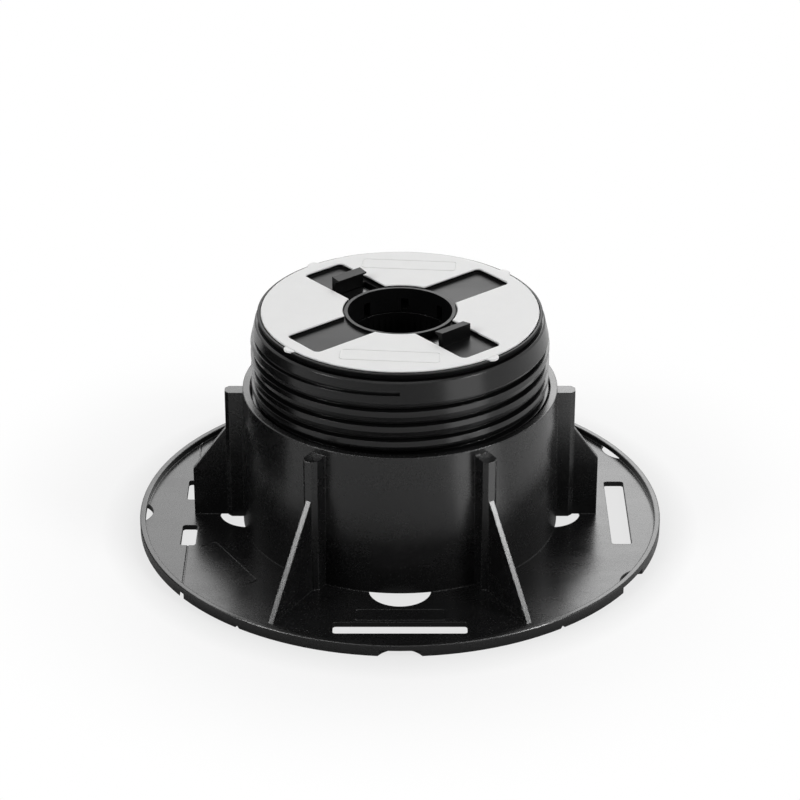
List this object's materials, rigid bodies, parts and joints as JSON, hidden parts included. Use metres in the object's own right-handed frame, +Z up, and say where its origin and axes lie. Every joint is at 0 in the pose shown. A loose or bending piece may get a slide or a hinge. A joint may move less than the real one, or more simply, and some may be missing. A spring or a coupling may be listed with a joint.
{
  "type": "adjustable deck pedestal",
  "caption": "Round flanged foot with a ribbed threaded tower, a coarse screw that sets the height, and a padded head with rail hooks that carries decking joists or paving.",
  "frame": {"origin": "centre of the base's underside, on the ground", "axes": "+Z up along the screw's axis, -Y towards the front where the thread groove ends, +X to the right"},
  "size_m": [0.2, 0.2, 0.0928],
  "materials": {
    "moulded_plastic": "satin, as moulded",
    "pad_rubber": "matte"
  },
  "bodies": {
    "base": {"base": "moulded_plastic"},
    "head": {"head": "moulded_plastic", "pad": "pad_rubber"},
    "screw": {"screw": "moulded_plastic"}
  },
  "joints": [
    {"name": "height_adjust", "type": "slide", "parent": "base", "child": "head", "axis": [0, 0, 1], "range_m": [-0.014, 0.031]},
    {"name": "screw_turn", "type": "hinge", "parent": "head", "child": "screw", "pos_m": [0, 0, 0.05], "axis": [0, 0, 1], "range_deg": [-840, 1860]}
  ],
  "couplings": [
    {"joint": "height_adjust", "follows": "screw_turn", "m_per_rad": 0.00095493}
  ]
}
